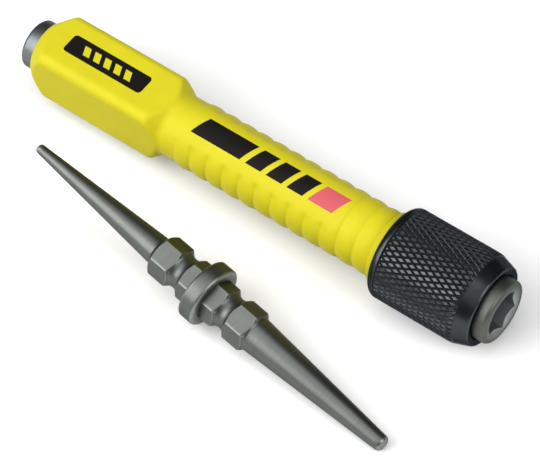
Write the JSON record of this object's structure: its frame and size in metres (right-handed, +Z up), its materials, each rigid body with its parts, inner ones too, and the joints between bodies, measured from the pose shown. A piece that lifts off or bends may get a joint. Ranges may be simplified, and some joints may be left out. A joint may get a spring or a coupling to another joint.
{
  "type": "nail setter",
  "caption": "Hand-held nail setter: ribbed grip with a square striking head, knurled quick-release chuck with a hexagonal socket, and a separate double-ended tapered nail set.",
  "frame": {"origin": "centre of the strike face, on the holder's long axis", "axes": "+X along the holder from the strike face to the nose, +Z up through the flat of the head that bears the plain label"},
  "size_m": [0.1339, 0.0519, 0.023],
  "materials": {
    "strike_steel": "satin turned",
    "chuck_steel": "satin, dark",
    "yellow_grip": "semi-matte moulded",
    "black_oxide": "black oxide, satin",
    "spring_steel": "drawn wire",
    "ball_steel": "polished",
    "set_steel": "satin, hardened"
  },
  "bodies": {
    "holder": {"striking_shank": "strike_steel", "chuck_body": "chuck_steel", "grip": "yellow_grip", "return_spring": "spring_steel"},
    "collar": {"release_collar": "black_oxide", "collar_end_plate": "strike_steel", "collar_circlip": "spring_steel"},
    "ball_1": {"detent_ball_1": "ball_steel"},
    "ball_2": {"detent_ball_2": "ball_steel"},
    "set": {"nail_set": "set_steel"}
  },
  "joints": [
    {"name": "collar_slide", "type": "slide", "parent": "holder", "child": "collar", "axis": [1, 0, 0], "range_m": [0, 0.004], "stiffness_N_per_m": 1000, "springref_m": -0.008, "deforming": ["return_spring"]},
    {"name": "ball_1_slide", "type": "slide", "parent": "holder", "child": "ball_1", "axis": [0, -1, 0], "range_m": [0, 0.00046]},
    {"name": "ball_2_slide", "type": "slide", "parent": "holder", "child": "ball_2", "axis": [0, 1, 0], "range_m": [0, 0.00046]},
    {"name": "set_lift", "type": "slide", "parent": "holder", "child": "set", "axis": [0, 0, 1], "range_m": [0, 0.06]}
  ],
  "couplings": [
    {"joint": "ball_1_slide", "follows": "collar_slide", "ratio": 0.115},
    {"joint": "ball_2_slide", "follows": "collar_slide", "ratio": 0.115}
  ]
}
